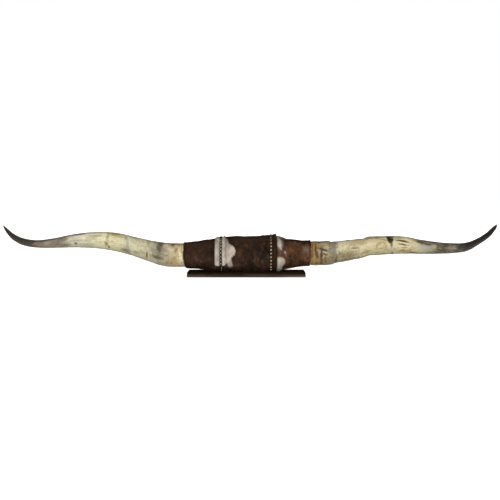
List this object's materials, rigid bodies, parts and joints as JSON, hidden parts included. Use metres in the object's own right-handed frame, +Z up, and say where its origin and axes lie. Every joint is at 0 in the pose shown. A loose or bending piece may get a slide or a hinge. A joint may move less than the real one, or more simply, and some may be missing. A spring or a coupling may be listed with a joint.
{
  "type": "pair of longhorn steer horns on a shelf stand",
  "caption": "Long curved steer horns set end to end in a stuffed cover of brown and white hair-on cowhide, laced and bound at its seams, resting on a dark chamfered board.",
  "frame": {"origin": "middle of the board's underside", "axes": "+X along the horns to the viewer's right, -Y towards the viewer, +Z up"},
  "size_m": [1.9064, 0.1687, 0.199],
  "materials": {
    "horn": "polished horn, cream with grey smudges, brown cracks and dark tips",
    "brown_hide": "short hair, dark brown with white patches",
    "white_hide": "short hair, off-white",
    "dark_leather": "smooth, satin",
    "thong": "smooth, satin",
    "pale_thong": "rawhide, matte",
    "stained_wood": "dark stain, satin"
  },
  "bodies": {
    "root": {"board": "stained_wood", "left_horn": "horn", "right_horn": "horn", "left_cuff": "brown_hide", "centre_hide": "brown_hide", "right_cuff": "brown_hide", "white_band": "white_hide", "cross_lacing": "thong", "binding": "dark_leather", "running_stitch": "pale_thong"}
  },
  "joints": []
}
